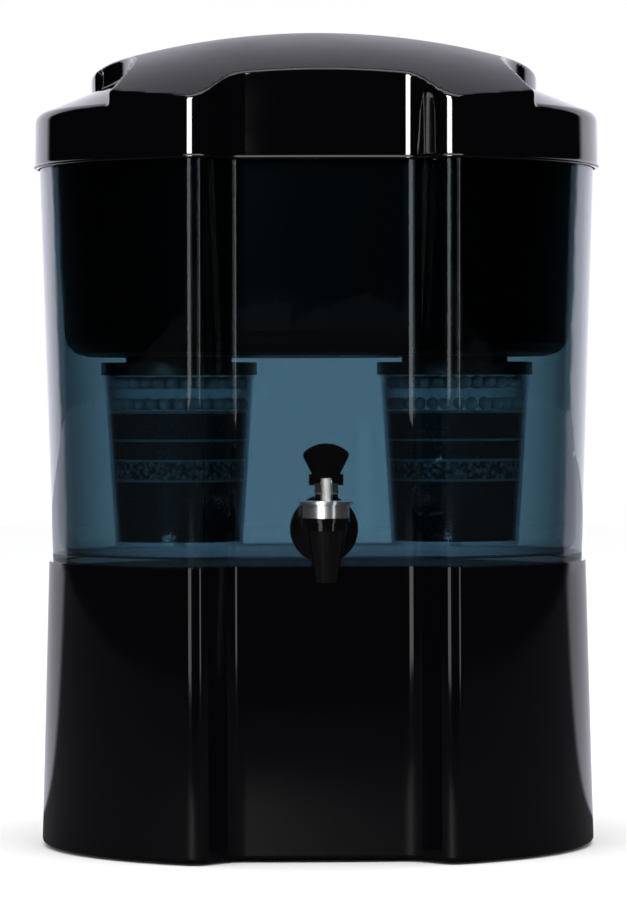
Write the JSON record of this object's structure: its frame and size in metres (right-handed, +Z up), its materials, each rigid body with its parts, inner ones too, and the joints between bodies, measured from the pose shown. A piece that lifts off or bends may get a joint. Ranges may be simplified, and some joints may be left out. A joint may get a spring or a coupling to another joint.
{
  "type": "gravity water filter",
  "caption": "Countertop gravity water filter: black stand, smoke-tinted tank with a lever tap, upper reservoir with filter cartridges, and a domed lid with finger scoops.",
  "frame": {"origin": "on the surface it stands on, under the middle of the overall box", "axes": "+Z up; -Y is the front, where the tap is; +X is to the right seen from the front"},
  "size_m": [0.294, 0.3041, 0.42],
  "materials": {
    "black_gloss": "polished black moulding",
    "lid_black": "polished skirt, satin dome",
    "smoke_tank": "clear moulding tinted blue-grey",
    "black_reservoir": "plain black moulding",
    "tap_black": "black moulding, slightly grained",
    "tap_chrome": "plated collar",
    "stem_white": "white acetal",
    "silicone": "translucent silicone",
    "spring_steel": "drawn stainless wire",
    "rubber": "black rubber",
    "cup_clear": "clear moulding",
    "cap_dark": "dark moulding",
    "strainer_white": "white moulding",
    "separator_felt": "pressed felt",
    "fine_carbon": "fine dark grains",
    "mineral_grains": "grey mineral grains",
    "carbon_grains": "black carbon grains",
    "ceramic_pebbles": "pale ceramic pebbles"
  },
  "bodies": {
    "base": {"base_shell": "black_gloss", "base_feet": "rubber"},
    "tank": {"storage_tank": "smoke_tank", "tank_floor": "smoke_tank", "tap_body": "tap_black", "tap_outer_gasket": "rubber", "tap_inner_gasket": "rubber", "tap_lock_nut": "tap_black", "tap_collar": "tap_chrome", "tap_spring": "spring_steel"},
    "tap_stem": {"tap_stem": "stem_white", "tap_seat_cup": "silicone", "tap_lever_pin": "spring_steel"},
    "tap_lever": {"tap_lever": "tap_black"},
    "reservoir": {"upper_reservoir": "black_reservoir", "filter_cup_right": "cup_clear", "filter_cap_right": "cap_dark", "filter_gasket_right": "rubber", "filter_nut_right": "cap_dark", "inlet_strainer_right": "strainer_white", "separators_right": "separator_felt", "base_bed_right": "fine_carbon", "mineral_bed_right": "mineral_grains", "lower_carbon_right": "carbon_grains", "upper_carbon_right": "carbon_grains", "pebble_bed_right": "ceramic_pebbles", "filter_cup_left": "cup_clear", "filter_cap_left": "cap_dark", "filter_gasket_left": "rubber", "filter_nut_left": "cap_dark", "inlet_strainer_left": "strainer_white", "separators_left": "separator_felt", "base_bed_left": "fine_carbon", "mineral_bed_left": "mineral_grains", "lower_carbon_left": "carbon_grains", "upper_carbon_left": "carbon_grains", "pebble_bed_left": "ceramic_pebbles"},
    "lid": {"lid_dome": "lid_black", "lid_skirt": "lid_black"}
  },
  "joints": [
    {"name": "tank_lift", "type": "slide", "parent": "base", "child": "tank", "axis": [0, 0, 1], "range_m": [0, 0.03]},
    {"name": "reservoir_lift", "type": "slide", "parent": "tank", "child": "reservoir", "axis": [0, 0, 1], "range_m": [0, 0.21]},
    {"name": "lid_lift", "type": "slide", "parent": "reservoir", "child": "lid", "axis": [0, 0, 1], "range_m": [0, 0.08]},
    {"name": "tap_stem_slide", "type": "slide", "parent": "tank", "child": "tap_stem", "axis": [0, 0, 1], "range_m": [0, 0.0032], "stiffness_N_per_m": 100, "springref_m": -0.003, "deforming": ["tap_spring"]},
    {"name": "tap_lever_tilt", "type": "hinge", "parent": "tap_stem", "child": "tap_lever", "pos_m": [0, -0.13896, 0.19], "axis": [1, 0, 0], "range_deg": [0, 50]}
  ],
  "couplings": [
    {"joint": "tap_lever_tilt", "follows": "tap_stem_slide", "rad_per_m": 272.7}
  ]
}
